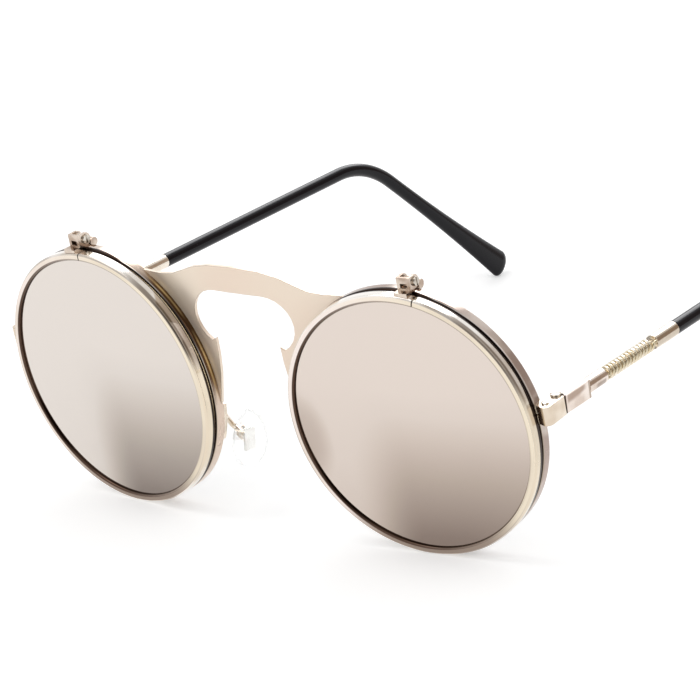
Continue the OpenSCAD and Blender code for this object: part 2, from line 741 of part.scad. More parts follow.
// The metal tab that hangs on the pad screw and the plate that holds the pad, drawn with
// some clearance when it is cut out of the pad
module pad_tab(gap) {
    back_x = -pad_face - pad_plate_in;
    translate([back_x - pad_plate_t - gap, -pad_plate_w / 2 - gap, -pad_plate_l / 2 - gap])
        cube([pad_plate_t + 2 * gap, pad_plate_w + 2 * gap, pad_plate_l + 2 * gap]);
    translate([back_x, -pad_tab_t / 2 - gap, -pad_tab_h / 2 - gap])
        cube([-back_x, pad_tab_t + 2 * gap, pad_tab_h + 2 * gap]);
}

module pad_lug(side) {
    color(steel) at_side(side) at_pad() difference() {
        union() {
            rod_y(pad_eye_d, -pad_tab_t / 2, pad_tab_t / 2);
            pad_tab(0);
        }
        rod_y(pad_screw_d + 2 * fit, -pad_tab_t, pad_tab_t);
    }
}

module nose_pad(side) {
    edge = pad_t / 2;
    reach_z = pad_l / 2 - edge;
    reach_y = pad_w / 2 - edge;
    outline = [[0, 1], [0.55, 0.72], [0.9, 0.25], [1, -0.25], [0.8, -0.65], [0.35, -0.94]];
    color(clear_tint) at_side(side) at_pad() difference() {
        hull() for (p = outline) for (s = [-1, 1])
            translate([-pad_face - edge, s * p[0] * reach_y, p[1] * reach_z])
                sphere(r = edge, $fn = 16);
        pad_tab(fit);
    }
}

bridge_plate();
fixed_rim(1);  // fixed_rim_left
fixed_rim(-1);  // fixed_rim_right
clear_lens(1);  // clear_lens_left
clear_lens(-1);  // clear_lens_right
endpiece(1);  // endpiece_left
endpiece(-1);  // endpiece_right
rim_lock_screw(1);  // rim_lock_screw_left
rim_lock_screw(-1);  // rim_lock_screw_right
temple_hinge_screw(1);  // temple_hinge_screw_left
temple_hinge_screw(-1);  // temple_hinge_screw_right
flip_hinge_base(1);  // flip_hinge_base_left
flip_hinge_base(-1);  // flip_hinge_base_right
pad_arm(1);  // pad_arm_left
pad_arm(-1);  // pad_arm_right
pad_screw(1);  // pad_screw_left
pad_screw(-1);  // pad_screw_right
pad_lug(1);  // pad_lug_left
pad_lug(-1);  // pad_lug_right
nose_pad(1);  // nose_pad_left
nose_pad(-1);  // nose_pad_right
flip_rim(1);  // flip_rim_left
flip_rim(-1);  // flip_rim_right
mirror_lens(1);  // mirror_lens_left
mirror_lens(-1);  // mirror_lens_right
flip_bracket(1);  // flip_bracket_left
flip_bracket(-1);  // flip_bracket_right
flip_screw(1);  // flip_screw_left
flip_screw(-1);  // flip_screw_right
flip_washers(1);  // flip_washers_left
flip_washers(-1);  // flip_washers_right
temple_block(1);  // temple_block_left
temple_block(-1);  // temple_block_right
temple_core(1);  // temple_core_left
temple_core(-1);  // temple_core_right
temple_coil(1);  // temple_coil_left
temple_coil(-1);  // temple_coil_right
temple_collar(1);  // temple_collar_left
temple_collar(-1);  // temple_collar_right
temple_sleeve(1);  // temple_sleeve_left
temple_sleeve(-1);  // temple_sleeve_right
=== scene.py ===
import math

import bmesh
import bpy
from mathutils import Matrix, Vector


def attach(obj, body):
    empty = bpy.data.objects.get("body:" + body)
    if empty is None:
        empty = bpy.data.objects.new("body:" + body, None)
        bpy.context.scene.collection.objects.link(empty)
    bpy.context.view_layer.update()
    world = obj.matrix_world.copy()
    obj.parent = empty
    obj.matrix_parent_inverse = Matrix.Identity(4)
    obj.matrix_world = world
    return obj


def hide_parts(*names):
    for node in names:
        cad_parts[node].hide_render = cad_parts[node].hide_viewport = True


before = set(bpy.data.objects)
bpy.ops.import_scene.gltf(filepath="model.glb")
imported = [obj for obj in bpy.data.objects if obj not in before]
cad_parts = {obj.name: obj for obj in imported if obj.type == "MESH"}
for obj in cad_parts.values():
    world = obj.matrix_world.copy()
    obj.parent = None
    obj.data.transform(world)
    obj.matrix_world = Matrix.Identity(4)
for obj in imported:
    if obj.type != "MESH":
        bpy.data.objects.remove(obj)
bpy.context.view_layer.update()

# Camera
# It stands at the photograph's angle, above the front and to the wearer's left, and is held
# a little askew.
MM = 0.001
view_azimuth = math.radians(40.37)
view_elevation = math.radians(18.08)
view_roll = math.radians(-6.5)
view_distance = 700 * MM
view_target = Vector((12.3, -56.7, 32.2)) * MM
view_back = Vector((math.sin(view_azimuth) * math.cos(view_elevation),
                    -math.cos(view_azimuth) * math.cos(view_elevation),
                    math.sin(view_elevation)))
camera_data = bpy.data.cameras.new("camera")
camera_data.sensor_width = 36.0
camera_data.lens = 199.27
camera_data.clip_start = 0.01
camera_data.clip_end = 20
camera = bpy.data.objects.new("camera", camera_data)
bpy.context.scene.collection.objects.link(camera)
camera.matrix_world = (Matrix.Translation(view_target + view_distance * view_back)
                       @ Matrix.Rotation(view_roll, 4, view_back)
                       @ (-view_back).to_track_quat("-Z", "Y").to_matrix().to_4x4())
bpy.context.scene.camera = camera
bpy.context.scene.view_settings.view_transform = "Standard"


# Studio
# A pale floor that keeps the soft shadow, even white light and two large softboxes. Only
# reflections see the darker ceiling, the unlit room, the warm screen and the window that
# polished metal needs to show its form.
class Value:
    """A shader value. Arithmetic on it adds Math nodes, and node() adds any other node."""

    def __init__(self, tree, socket=None):
        self.tree = tree
        self.socket = socket

    def node(self, kind, settings=(), inputs=(), out=0):
        """A new node: its settings first, a ramp's stops among them, and then its sockets."""
        made = self.tree.nodes.new(kind)
        for name, value in dict(settings).items():
            if name == "stops":
                for at, colour in value[1:-1]:
                    made.color_ramp.elements.new(at)
                for element, (at, colour) in zip(made.color_ramp.elements, value):
                    element.position = at
                    element.color = (*colour, 1)
            else:
                setattr(made, name, value)
        for key, value in dict(inputs).items():
            put(made.inputs[key], value)
        return Value(self.tree, made.outputs[out])

    def math(self, operation, *others):
        """A Math node on this value and any others."""
        return self.node("ShaderNodeMath", {"operation": operation},
                         dict(enumerate((self, *others))))

    def vector(self, operation, *others, out="Vector"):
        """A Vector Math node on this vector and any others."""
        return self.node("ShaderNodeVectorMath", {"operation": operation},
                         dict(enumerate((self, *others))), out)

    def step(self, low, high):
        """0 below low, 1 above high, and smooth between them."""
        return self.node("ShaderNodeMapRange", {"interpolation_type": "SMOOTHSTEP"},
                         {0: self, 1: low, 2: high})

    def mix(self, low, high):
        """Colour low where this value is 0 and high where it is 1."""
        return self.node("ShaderNodeMix", {"data_type": "RGBA"}, {0: self, 6: low, 7: high}, 2)

    def noise(self, scale, detail=2.0):
        return self.node("ShaderNodeTexNoise", {},
                         {"Vector": self, "Scale": scale, "Detail": detail})

    def __add__(self, other):
        return self.math("ADD", other)

    __radd__ = __add__

    def __sub__(self, other):
        return self.math("SUBTRACT", other)

    def __rsub__(self, other):
        return self.node("ShaderNodeMath", {"operation": "SUBTRACT"}, {0: other, 1: self})

    def __mul__(self, other):
        return self.math("MULTIPLY", other)

    __rmul__ = __mul__

    def __truediv__(self, other):
        return self.math("DIVIDE", other)


def put(socket, value):
    """Links a shader value to a socket, or sets the socket to a number, vector or colour."""
    if isinstance(value, Value):
        value.tree.links.new(value.socket, socket)
    elif isinstance(value, tuple) and len(value) == 3 and len(socket.default_value) == 4:
        socket.default_value = (*value, 1)
    else:
        socket.default_value = value


def tone(red, green, blue):
    """A colour as it looks on screen, from 0 to 255, as the linear colour a socket takes."""
    return tuple(c / 12.92 if c <= 0.04045 else ((c + 0.055) / 1.055) ** 2.4
                 for c in (red / 255, green / 255, blue / 255))


def new_material(name, **uniform):
    """A Principled material with its even values set: (material, its sockets, its place)."""
    material = bpy.data.materials.new(name)
    material.use_nodes = True
    sockets = material.node_tree.nodes["Principled BSDF"].inputs
    for key, value in uniform.items():
        put(sockets[key.replace("_", " ")], value)
    place = Value(material.node_tree).node("ShaderNodeTexCoord", out="Object")
    return material, sockets, place


def ray_kind(tree, kind):
    """1 for a ray of this kind, such as Camera, and 0 for the others."""
    return Value(tree).node("ShaderNodeLightPath", out=f"Is {kind} Ray")


def seen_by(tree):
    """1 for a ray that shows the backdrop: from the camera, off metal or through glass."""
    seen = ray_kind(tree, "Camera").math("MAXIMUM", ray_kind(tree, "Glossy"))
    return seen.math("MAXIMUM", ray_kind(tree, "Transmission"))


WHITE = (1.0, 1.0, 1.0)
floor_size = 8.0
floor_lift = 0.35
bpy.ops.object.select_all(action="DESELECT")
bpy.ops.mesh.primitive_plane_add(size=floor_size)
floor = bpy.context.active_object
floor.name = "studio_floor"
floor_finish, sockets, place = new_material("studio_floor", Roughness=0.6,
                                            Specular_IOR_Level=0.1)
put(sockets["Base Color"], place.noise(14.0).mix((0.80, 0.80, 0.80), (0.82, 0.82, 0.82)))
tree = floor_finish.node_tree
floor_glow = place.node("ShaderNodeEmission", {},
                        {"Color": WHITE, "Strength": seen_by(tree) * floor_lift})
floor_both = place.node("ShaderNodeAddShader", {},
                        {0: Value(tree, tree.nodes["Principled BSDF"].outputs[0]),
                         1: floor_glow})
put(tree.nodes["Material Output"].inputs["Surface"], floor_both)
floor.data.materials.append(floor_finish)

ceiling_tone = (0.8, 0.8, 0.8)
dome_level = 0.75
world = bpy.data.worlds.new("studio")
world.use_nodes = True
bpy.context.scene.world = world
tree = world.node_tree
outward = Value(tree).node("ShaderNodeTexCoord", out="Generated")
room = outward.node("ShaderNodeSeparateXYZ", {}, {0: outward}, "Z").step(0.30, 0.95).mix(
    WHITE, ceiling_tone)
# The unlit room behind the camera, a warm screen beyond the glasses' left side and a bright
# window behind their right side: where each lies, where it is full, where it ends, its light
for aim, full, edge, light in (((0.60, -0.66, 0.45), 0.97, 0.84, (0.10, 0.085, 0.075)),
                               ((0.62, 0.72, 0.33), 0.96, 0.88, (0.36, 0.28, 0.22)),
                               ((-0.31, 0.72, 0.61), 0.97, 0.93, (5.0, 5.0, 5.1))):
    toward = outward.vector("DOT_PRODUCT", tuple(Vector(aim).normalized()), out="Value")
    room = toward.step(edge, full).mix(room, light)
background = tree.nodes["Background"].inputs
put(background["Color"], ray_kind(tree, "Glossy").mix(WHITE, room))
put(background["Strength"], dome_level + seen_by(tree) * (1.0 - dome_level))


def softbox(name, place, power):
    """A large square lamp that faces the glasses."""
    light = bpy.data.lights.new(name, "AREA")
    light.size = 0.7
    light.energy = power
    lamp = bpy.data.objects.new(name, light)
    bpy.context.scene.collection.objects.link(lamp)
    lamp.matrix_world = (Matrix.Translation(place)
                         @ (-Vector(place)).to_track_quat("-Z", "Y").to_matrix().to_4x4())


softbox("key_softbox", (-0.5, -0.3, 1.2), 3.0)
softbox("fill_softbox", (1.0, 0.2, 0.9), 1.0)

# Rims
# Four turned rings of polished champagne plating: a fixed one at the back of each side and a
# flip rim in front. Each is a grooved section swept round the lens, with a fine slit where
# the ring is closed on its lens.
SIDES = {"left": 1, "right": -1}
sight_r = 24.0
rim_r = 25.4
rim_t = 2.25
groove_r = 24.6
groove_w = 1.24
fixed_d0 = 2.6
slit_w = 0.25
half_centres = 35.5
wrap = math.radians(5.5)
lean = math.radians(7.081)
stand_y, stand_z = -70.3636, 25.1774
endpiece_z = 3.5
flip_offset = 3.2
flip_slit_ahead = 2.35
rim_steps = 216
face_round = 0.5
sight_ease = 0.3
back_ease = 0.28
touch = 0.01  # how near a point lies to the edge that it is on
weld = 1e-4  # how near two points lie that are one

# The frame of the front, in millimetres: X to the wearer's left, Y backwards, Z up
front = (Matrix.Translation(Vector((0, stand_y, stand_z)) * MM)
         @ Matrix.Rotation(lean, 4, "X") @ Matrix.Scale(MM, 4))


def lens_frame(side):
    """The frame of one lens, with Y backwards from the face of its flip rim."""
    return (front @ Matrix.Translation((side * half_centres, 0, 0))
            @ Matrix.Rotation(side * wrap, 4, "Z"))


def measured(place, home):
    """A surface point's distances along the three axes of a frame, in millimetres."""
    from_home = place.vector("SUBTRACT", tuple(home.translation))
    turn = home.to_3x3()
    return [from_home.vector("DOT_PRODUCT", tuple((turn @ Vector(axis)).normalized()), out="Value")
            * (1 / MM) for axis in ((1, 0, 0), (0, 1, 0), (0, 0, 1))]


def drawn(points):
    """A closed outline in the XY plane, extruded point by point, left in edit mode."""
    bpy.ops.object.select_all(action="DESELECT")
    bpy.ops.mesh.primitive_plane_add(size=1)
    bpy.ops.object.mode_set(mode="EDIT")
    bpy.ops.mesh.select_all(action="SELECT")
    bpy.ops.mesh.merge(type="CENTER")
    bpy.ops.transform.translate(value=(*points[0], 0))
    for (x0, y0), (x1, y1) in zip(points, points[1:]):
        bpy.ops.mesh.extrude_vertices_move(
            TRANSFORM_OT_translate={"value": (x1 - x0, y1 - y0, 0)})
    bpy.ops.mesh.select_all(action="SELECT")
    bpy.ops.mesh.edge_face_add()
    return bpy.context.active_object


def ease_corners(test, size, segments=4):
    """Rounds the corners of a drawn outline whose place passes a test."""
    bpy.ops.mesh.select_mode(type="VERT")
    bpy.ops.mesh.select_all(action="DESELECT")
    mesh = bpy.context.active_object.data
    shape = bmesh.from_edit_mesh(mesh)
    for point in shape.verts:
        point.select = test(point.co)
    shape.select_flush_mode()
    bmesh.update_edit_mesh(mesh)
    bpy.ops.mesh.bevel(offset=size, segments=segments, affect="VERTICES")


def sweep(steps, turn=math.tau):
    """Turns the drawn outline round the Y axis and closes the shape."""
    bpy.ops.mesh.select_all(action="SELECT")
    if turn == math.tau:
        bpy.ops.mesh.delete(type="ONLY_FACE")
        bpy.ops.mesh.select_all(action="SELECT")
    bpy.ops.mesh.spin(steps=steps, angle=turn, center=(0, 0, 0), axis=(0, 1, 0))
    bpy.ops.mesh.select_all(action="SELECT")
    bpy.ops.mesh.remove_doubles(threshold=weld)


def seat(obj, name, place, finishes, body, node, smooth=40):
    """Places a piece, gives it its finishes and hangs it on its body in a node's stead."""
    if obj.mode == "EDIT":
        bpy.ops.object.mode_set(mode="OBJECT")
    obj.name = obj.data.name = name
    obj.data.transform(place @ obj.matrix_world)
    obj.matrix_world = Matrix.Identity(4)
    slots = obj.data.materials
    while len(slots) < len(finishes):
        slots.append(None)
    for i, finish in enumerate(finishes):
        slots[i] = finish
    bpy.ops.object.select_all(action="DESELECT")
    obj.select_set(True)
    bpy.context.view_layer.objects.active = obj
    bpy.ops.object.mode_set(mode="EDIT")
    bpy.ops.mesh.select_all(action="SELECT")
    bpy.ops.mesh.normals_make_consistent(inside=False)
    bpy.ops.object.mode_set(mode="OBJECT")
    bpy.ops.object.shade_smooth_by_angle(angle=math.radians(smooth))
    even = obj.modifiers.new("even", "WEIGHTED_NORMAL")
    even.keep_sharp = True
    bpy.ops.object.modifier_apply(modifier="even")
    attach(obj, body)
    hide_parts(node)


def rim_plating(name, side):
    """The rims' plating in painted reflections: cream above, grey-brown below, a dark line
    round the lens, a white side, and painted shade in the gap between the two rims."""
    finish, sockets, place = new_material(f"rim_gold_{name}", Metallic=1.0)
    aside, depth, height = measured(place, lens_frame(side))
    radius = (aside * aside + height * height).math("SQRT")

    def near(clock, low, high):
        """1 round one place on the ring, given in degrees from the wearer's left, upwards."""
        turned = math.radians(clock)
        along = aside * math.cos(turned) + height * math.sin(turned)
        return (along / radius).step(low, high)

    drift = place.noise(55.0)
    patch = place.noise(140.0)
    # The flat face in painted reflections: cream and grey-brown round the ring, soft patches,
    # and painted dark lines round the lens and along the outer edge
    face = near(10, -0.6, 0.6).mix(tone(240, 228, 221), tone(236, 224, 203))
    face = (drift.step(0.4, 0.65) * 0.5).mix(face, tone(216, 202, 184))
    face = near(272, 0.62, 0.93).mix(face, tone(160, 144, 132))
    outer_line = radius.step(rim_r - 0.5, rim_r - 0.3) * near(250, -0.1, 0.7)
    face = (outer_line * 0.8).mix(face, tone(142, 120, 106))
    inner_line = 1 - radius.step(sight_r + 0.3, sight_r + 0.42)
    inner_line = inner_line * (near(195, -0.45, 0.5) * 0.8 + 0.2)
    face = inner_line.mix(face, tone(86, 68, 58))
    top_line = (1 - radius.step(sight_r + 0.22, sight_r + 0.34)) * near(75, 0.2, 0.8)
    face = (top_line * 0.6).mix(face, tone(128, 114, 104))

    # The flip rim's outer side, which is paler, and its front corner, all in painted reflections
    flip_side = patch.step(0.45, 0.62).mix(tone(252, 247, 241), tone(234, 224, 212))
    corner = (1 - depth.step(0.25, 0.5)) * drift.step(0.42, 0.58) * 0.7
    corner = corner.math("MAXIMUM", (1 - depth.step(0.75, 1.1)) * near(36, 0.84, 0.96))
    flip_side = corner.mix(flip_side, tone(150, 138, 126))
    flank = near(-12, 0.8, 0.95)
    flip_side = flank.mix(flip_side, tone(232, 218, 196))

    # The fixed rim's outer side in painted reflections; on the right it is seen from within, with
    # painted shade from the bridge and a painted glint
    fixed_side = patch.step(0.4, 0.6).mix(tone(212, 198, 188), tone(176, 156, 146))
    if side < 0:
        behind = depth - fixed_d0
        glint = behind.step(0.7, 0.95) * (1 - behind.step(1.05, 1.3))
        shade = behind.step(0.9, 1.9).mix(tone(96, 72, 52), tone(122, 100, 62))
        shade = (glint * place.noise(160.0).step(0.35, 0.6)).mix(shade, tone(212, 188, 138))
        fixed_side = near(0, -0.5, 0.4).mix(tone(236, 228, 220), tone(216, 196, 180))
        fixed_side = near(30, 0.8, 0.93).mix(fixed_side, shade)
    outer = radius.step(rim_r - 0.42, rim_r - 0.22)
    fixed = outer.mix(tone(206, 190, 172), fixed_side)
    colour = depth.step(fixed_d0 + 0.2, fixed_d0 + 0.32).mix(outer.mix(face, flip_side), fixed)

    # Painted shade in the gap between the two rims, which reaches further back at the top
    gap_from = rim_t - (0.6 if side > 0 else 0.42)
    crown = near(96, 0.9, 0.99) * 0.6
    gap = (depth + flank * 0.35).step(gap_from, gap_from + 0.2)
    gap = gap * (1 - (depth - crown).step(fixed_d0 + 0.12, fixed_d0 + 0.3))
    gap = gap * radius.step(rim_r - 0.5, rim_r - 0.35)
    put(sockets["Base Color"], gap.mix(colour, tone(50, 38, 32)))
    put(sockets["Roughness"], 0.09 + patch * 0.05 + place.noise(900.0).step(0.6, 0.75) * 0.05)
    if side > 0:
        put(sockets["Metallic"], 1 - outer * near(25, 0.7, 0.92) * (1 - gap) * 0.55)
    return finish


rim_gold = {name: rim_plating(name, side) for name, side in SIDES.items()}


def rim(name, kind, depth, slit_turn, body):
    """One ring, from its grooved section, with its slit turned up from the left."""
    lip = (rim_t - groove_w) / 2
    ring = drawn([(sight_r, 0), (rim_r, 0), (rim_r, rim_t), (sight_r, rim_t),
                  (sight_r, rim_t - lip), (groove_r, rim_t - lip), (groove_r, lip),
                  (sight_r, lip)])
    ease_corners(lambda p: p.x > rim_r - touch and p.y < touch, face_round, 5)
    ease_corners(lambda p: p.x < sight_r + touch and p.y < touch, sight_ease)
    ease_corners(lambda p: p.y > rim_t - touch, back_ease)
    sweep(rim_steps, math.tau - slit_w / rim_r)
    start = Matrix.Rotation(-(slit_turn + slit_w / rim_r / 2), 4, "Y")
    place = lens_frame(SIDES[name]) @ Matrix.Translation((0, depth, 0)) @ start
    seat(ring, f"{kind}_rim_{name}_ring", place, [rim_gold[name]], body,
         f"{kind}_rim_{name}")


fixed_slit = math.asin(endpiece_z / rim_r)
for name, side in SIDES.items():
    rim(name, "fixed", fixed_d0, fixed_slit if side > 0 else math.pi - fixed_slit, "front")
    rim(name, "flip", 0, math.acos((side * flip_offset + flip_slit_ahead) / rim_r),
        f"flip_{name}")

# Lenses
# Shallow domes cut from one curve. The front pair wears a warm mirror coating with a painted
# reflection that fades to grey-brown at the bottom, and the pair behind is clear.
lens_curve_r = 260.0
lens_r = 24.56
dome_r = 23.86
mirror_t = 1.0
clear_t = 1.2
mirror_seat = 0.525
clear_seat = fixed_d0 + mirror_seat
dome_rings = 14
lens_steps = 180


def dome(seat_y, thickness):
    """A lens from its section: a shallow dome with a flat edge that lies in the groove."""
    def sag(r):
        return lens_curve_r - math.sqrt(lens_curve_r ** 2 - r ** 2)

    radii = [dome_r * i / dome_rings for i in range(dome_rings + 1)]
    front_face = [(r, seat_y - sag(dome_r) + sag(r)) for r in radii]
    back_face = [(r, y + thickness) for r, y in reversed(front_face)]
    glass = drawn([*front_face, (lens_r, seat_y), (lens_r, seat_y + thickness), *back_face])
    sweep(lens_steps)
    return glass


def mirror_finish(name, side, spared_x, spared_share, patch_depth, cooler):
    """The mirror coating, with a painted reflection: rose at the top, fading to grey-brown below.
    The fade is spared beyond spared_x on the wearer's right, down to a share of itself, but for
    a faint painted dark reflection. The lens's back is an even smoky grey."""
    finish, sockets, place = new_material(f"mirror_coat_{name}", Metallic=1.0)
    home = lens_frame(side)
    aside, depth, height = measured(place, home)
    far_out = place.vector("DISTANCE", tuple(home.translation), out="Value") * (1 / MM)
    drift = (place.noise(30.0, 1.0) - 0.5) * 3.0
    fade_top, fade_run = 7.0, 29.0
    fade = (fade_top - height + drift) * (1 / fade_run)
    spared_run = 7
    kept = aside.step(spared_x - spared_run, spared_x + spared_run)
    kept = spared_share + kept * (1 - spared_share)
    # A faint painted dark reflection, low on the wearer's right of the lens
    patch_x, patch_z = -24.0, -4.0
    from_patch = ((aside - patch_x) * (aside - patch_x)
                  + (height - patch_z) * (height - patch_z) * 0.5)
    fade = fade * kept + (1 - from_patch.step(0, 60)) * patch_depth
    stops = [(at, tone(red, green + cooler, blue + 1.5 * cooler)) for at, red, green, blue in (
        (0.0, 220, 208, 199), (0.16, 216, 204, 195), (0.3, 207, 194, 184), (0.44, 196, 182, 172),
        (0.58, 184, 170, 159), (0.72, 172, 158, 148), (1.0, 149, 134, 125))]
    # The painted reflection's tones, rose at the top to grey-brown at the bottom
    painted_reflection = fade.node("ShaderNodeValToRGB", {"stops": stops}, {0: fade})
    back = drift.step(-0.6, 0.6).mix(tone(152, 146, 142), tone(140, 134, 130))
    behind = (depth - far_out * far_out * (0.5 / lens_curve_r)).step(-0.2, 0.0)
    # A painted shade line round the dome's edge, where the rim meets it
    edge = far_out.step(dome_r - 0.1, dome_r + 0.1)
    put(sockets["Base Color"], edge.mix(behind.mix(painted_reflection, back), tone(84, 70, 58)))
    put(sockets["Roughness"], 0.03 + place.noise(240.0) * 0.04)
    return finish


# Polished plastic, with a trace of dust that dulls it in patches
clear_plastic, sockets, place = new_material("clear_lens", Transmission_Weight=1.0, IOR=1.5)
put(sockets["Base Color"], place.noise(60.0).mix((0.97, 0.985, 0.98), (0.99, 0.995, 0.99)))
put(sockets["Roughness"], place.noise(400.0, 4.0).step(0.62, 0.8) * 0.03)

mirror_coat = {
    "left": mirror_finish("left", 1, spared_x=-8, spared_share=0.3, patch_depth=0.38, cooler=0),
    "right": mirror_finish("right", -1, spared_x=-4, spared_share=0.06, patch_depth=0.0, cooler=4)}
for name, side in SIDES.items():
    seat(dome(mirror_seat, mirror_t), f"mirror_lens_{name}_dome", lens_frame(side),
         [mirror_coat[name]], f"flip_{name}", f"mirror_lens_{name}")
    seat(dome(clear_seat, clear_t), f"clear_lens_{name}_dome", lens_frame(side),
         [clear_plastic], "front", f"clear_lens_{name}")

# Bridge plate
# One flat keyhole plate of satin champagne plating, soldered to the back of both fixed rims.
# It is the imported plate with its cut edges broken.
AS_IS = Matrix.Identity(4)
plate_edge = 0.09
solid_weld = 1e-6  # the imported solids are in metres


def eased_copy(node, edge, segments=2, within=30, edge_finish=False):
    """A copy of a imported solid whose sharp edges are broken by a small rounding, which takes
    the second finish if the edges have their own."""
    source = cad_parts[node]
    copy = source.copy()
    copy.data = source.data.copy()
    copy.parent = None
    copy.matrix_world = source.matrix_world
    bpy.context.scene.collection.objects.link(copy)
    bpy.ops.object.select_all(action="DESELECT")
    copy.select_set(True)
    bpy.context.view_layer.objects.active = copy
    bpy.ops.object.mode_set(mode="EDIT")
    bpy.ops.mesh.select_all(action="SELECT")
    bpy.ops.mesh.remove_doubles(threshold=solid_weld)
    bpy.ops.mesh.dissolve_limited(angle_limit=math.radians(0.5))
    bpy.ops.object.mode_set(mode="OBJECT")
    if edge_finish:
        copy.data.materials.append(None)
    rounding = copy.modifiers.new("edge", "BEVEL")
    rounding.width = edge * MM
    rounding.segments = segments
    rounding.limit_method = "ANGLE"
    rounding.angle_limit = math.radians(within)
    rounding.material = 1 if edge_finish else 0
    bpy.ops.object.modifier_apply(modifier="edge")
    return copy


def plated(name, pale, deep, roughness, patches=120.0, metal=1.0):
    """Polished plating with soft patches of a deeper tone, which are painted reflections, and
    a little uneven polish.
    """
    finish, sockets, place = new_material(name, Metallic=metal)
    clouds = place.noise(patches)
    put(sockets["Base Color"], clouds.step(0.35, 0.68).mix(pale, deep))
    put(sockets["Roughness"], roughness + clouds * 0.05 + place.noise(700.0, 3.0) * 0.04)
    return finish


plate_gold = plated("plate_gold", tone(244, 230, 212), tone(240, 221, 203), 0.28, 45.0, 0.6)
# Painted dark lines on the rounded edges: the dark reflection and shade that these show
edge_shade_gold = plated("edge_shade_gold", tone(150, 130, 106), tone(116, 96, 76), 0.2)
seat(eased_copy("bridge_plate", plate_edge, edge_finish=True), "bridge_plate_eased", AS_IS,
     [plate_gold, edge_shade_gold], "front", "bridge_plate")

# Endpieces and their screws
# Each outer side carries a small soldered corner block of polished plating. It holds the
# screw that closes the fixed rim and the screw of the temple hinge.
block_edge = 0.12
screw_edge = 0.06
block_gold = plated("block_gold", tone(242, 232, 218), tone(214, 197, 176), 0.14, 190.0)
screw_steel = plated("screw_steel", tone(226, 220, 210), tone(150, 138, 124), 0.16, 900.0)
for name in SIDES:
    seat(eased_copy(f"endpiece_{name}", block_edge, edge_finish=True),
         f"endpiece_{name}_eased", AS_IS, [block_gold, edge_shade_gold], "front",
         f"endpiece_{name}")
    for screw in ("rim_lock_screw", "temple_hinge_screw"):
        seat(eased_copy(f"{screw}_{name}", screw_edge), f"{screw}_{name}_eased", AS_IS,
             [screw_steel], "front", f"{screw}_{name}")

# Flip hinges
# A folded bracket on the flip rim carries two ears, and a knuckle on the fixed rim sits
# between them with a friction washer at each side. A slotted screw is the axle.
bracket_edge = 0.06
washer_edge = 0.02
bracket_gold = plated("bracket_gold", tone(218, 204, 190), tone(178, 158, 142), 0.12, 420.0)
for name in SIDES:
    for piece, edge, finish, slot, body in (
            ("flip_bracket", bracket_edge, bracket_gold, "frame_gold", f"flip_{name}"),
            ("flip_screw", screw_edge, screw_steel, "screw_steel", f"flip_{name}"),
            ("flip_washers", washer_edge, screw_steel, "screw_steel", f"flip_{name}"),
            ("flip_hinge_base", bracket_edge, bracket_gold, "frame_gold", "front")):
        seat(eased_copy(f"{piece}_{name}", edge), f"{piece}_{name}_eased", AS_IS, [finish],
             body, f"{piece}_{name}")

# Nose pads
# A bent wire arm holds a small open box, and a clear silicone pad rocks in it on a screw.
# A metal tab is moulded into the pad.
arm_edge = 0.05
pad_edge = 0.02
pad_silver = plated("pad_silver", tone(250, 249, 246), tone(226, 222, 214), 0.1, 300.0)
for name in SIDES:
    seat(eased_copy(f"pad_arm_{name}", arm_edge), f"pad_arm_{name}_eased", AS_IS,
         [block_gold], "front", f"pad_arm_{name}", smooth=50)
    seat(eased_copy(f"pad_screw_{name}", arm_edge), f"pad_screw_{name}_eased", AS_IS,
         [pad_silver], "front", f"pad_screw_{name}")
    seat(eased_copy(f"pad_lug_{name}", arm_edge), f"pad_lug_{name}_eased", AS_IS,
         [pad_silver], f"pad_{name}", f"pad_lug_{name}")

silicone, sockets, place = new_material("pad_silicone", Transmission_Weight=1.0, IOR=1.36,
                                        Alpha=0.3)
put(sockets["Base Color"], place.noise(300.0).mix((0.97, 0.98, 0.98), (0.99, 0.995, 0.995)))
put(sockets["Roughness"], 0.02 + place.noise(900.0) * 0.05)
for name in SIDES:
    seat(eased_copy(f"nose_pad_{name}", pad_edge, segments=1, within=80),
         f"nose_pad_{name}_soft", AS_IS, [silicone], f"pad_{name}",
         f"nose_pad_{name}", smooth=60)

# Temples
# Behind the hinge a polished block narrows to a round neck. The core wire runs on through a
# wound wire grip and a plain collar into the black sleeve.
hinge_x, hinge_y = 61.8331, 9.46215
temple_splay = math.radians(1.7)
temple_pitch = math.radians(4.5)
butt_gap = 0.12
coil_turns = 13
coil_pitch = 1.09
coil_start = 13.6
coil_d = 2.66
wire_d = 0.65
wire_sides = 12
coil_r = (coil_d - wire_d) / 2
hook_r = 0.5
hook_steps = 6
turn_steps = 32
collar_edge = 0.15


def temple_frame(side):
    """The frame of a temple: Y along it from the hinge, X outwards on either side."""
    return (front @ Matrix.Diagonal((side, 1, 1, 1))
            @ Matrix.Translation((hinge_x, hinge_y, endpiece_z))
            @ Matrix.Rotation(temple_splay, 4, "Z") @ Matrix.Rotation(-temple_pitch, 4, "X"))


